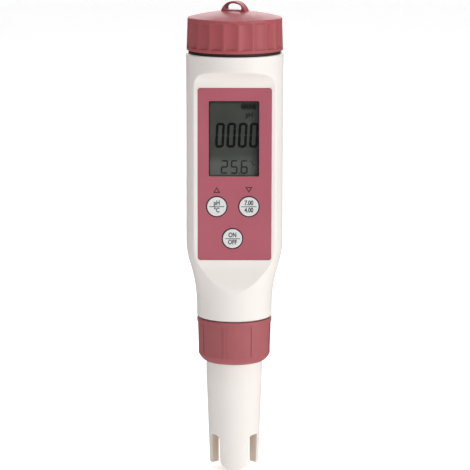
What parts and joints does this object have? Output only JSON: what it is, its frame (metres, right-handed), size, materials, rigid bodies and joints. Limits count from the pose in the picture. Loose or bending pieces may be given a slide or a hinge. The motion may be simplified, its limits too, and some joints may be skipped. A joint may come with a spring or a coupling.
{
  "type": "pen-type pH meter",
  "caption": "Pen-shaped water tester with a flat display front, round keys, fluted screw cap with lanyard loop, and a slotted probe held by a screw collar.",
  "frame": {"origin": "on the pen's axis, level with the tips of the probe guard's front and back prongs", "axes": "+Z runs along the pen from the guard to the lanyard loop, and the display faces -Y"},
  "size_m": [0.038, 0.038, 0.1864],
  "materials": {
    "white_case": "moulded white ABS, soft gloss",
    "white_probe": "moulded white plastic, satin",
    "pink_plastic": "rose-pink moulded plastic, satin with a fine grain",
    "pink_film": "printed rose-pink membrane, fine matt texture",
    "clear_lens": "clear lens, polished",
    "display_glass": "grey-green display glass",
    "key_plastic": "white key, satin",
    "dark_rubber": "dark seal rubber",
    "black_plastic": "black moulded plastic",
    "milky_plastic": "milky light plate",
    "board_green": "green solder mask",
    "steel": "plain steel",
    "cell_steel": "nickel-plated cell case",
    "gold_contact": "gold-plated contact",
    "silver_wire": "silver wire",
    "thin_glass": "thin blown glass",
    "white_ceramic": "porous ceramic",
    "dark_resin": "brown potting resin"
  },
  "bodies": {
    "case": {"main_housing": "white_case", "front_overlay": "pink_film", "display_window": "clear_lens", "lcd_panel": "display_glass", "lcd_frame": "black_plastic", "backlight_plate": "milky_plastic", "zebra_strips": "dark_rubber", "circuit_board": "board_green", "tact_switches": "black_plastic", "board_chips": "black_plastic", "board_screws": "steel", "battery_holder": "black_plastic", "button_cells": "cell_steel", "battery_spring": "steel", "side_contact": "steel", "probe_socket": "black_plastic", "socket_contacts": "gold_contact"},
    "seal_ring": {"cap_seal": "dark_rubber"},
    "cap": {"battery_cap": "pink_plastic", "cap_contact": "steel"},
    "probe": {"probe_sleeve": "white_probe", "probe_plug": "black_plastic", "plug_pins": "gold_contact", "probe_seal": "dark_rubber", "glass_bulb": "thin_glass", "glass_stem": "thin_glass", "reference_wire": "silver_wire", "reference_junction": "white_ceramic", "potting_plug": "dark_resin", "temperature_pin": "steel"},
    "collar": {"locking_collar": "pink_plastic"},
    "hold_key": {"hold_button": "key_plastic"},
    "mode_key": {"mode_button": "key_plastic"},
    "power_key": {"power_button": "key_plastic"}
  },
  "joints": [
    {"name": "cap_rise", "type": "slide", "parent": "case", "child": "seal_ring", "axis": [0, 0, 1], "range_m": [0, 0.0084]},
    {"name": "cap_turn", "type": "hinge", "parent": "seal_ring", "child": "cap", "pos_m": [0, 0, 0.175], "axis": [0, 0, 1], "range_deg": [0, 1260]},
    {"name": "probe_drop", "type": "slide", "parent": "case", "child": "probe", "axis": [0, 0, -1], "range_m": [0, 0.0072]},
    {"name": "collar_turn", "type": "hinge", "parent": "probe", "child": "collar", "pos_m": [0, 0, 0.055], "axis": [0, 0, -1], "range_deg": [0, 1080]},
    {"name": "hold_press", "type": "slide", "parent": "case", "child": "hold_key", "axis": [0, 1, 0], "range_m": [0, 0.0004], "stiffness_N_per_m": 900, "springref_m": -0.0005},
    {"name": "mode_press", "type": "slide", "parent": "case", "child": "mode_key", "axis": [0, 1, 0], "range_m": [0, 0.0004], "stiffness_N_per_m": 900, "springref_m": -0.0005},
    {"name": "power_press", "type": "slide", "parent": "case", "child": "power_key", "axis": [0, 1, 0], "range_m": [0, 0.0004], "stiffness_N_per_m": 900, "springref_m": -0.0005}
  ],
  "couplings": [
    {"joint": "cap_turn", "follows": "cap_rise", "rad_per_m": 2618},
    {"joint": "collar_turn", "follows": "probe_drop", "rad_per_m": 2618}
  ]
}
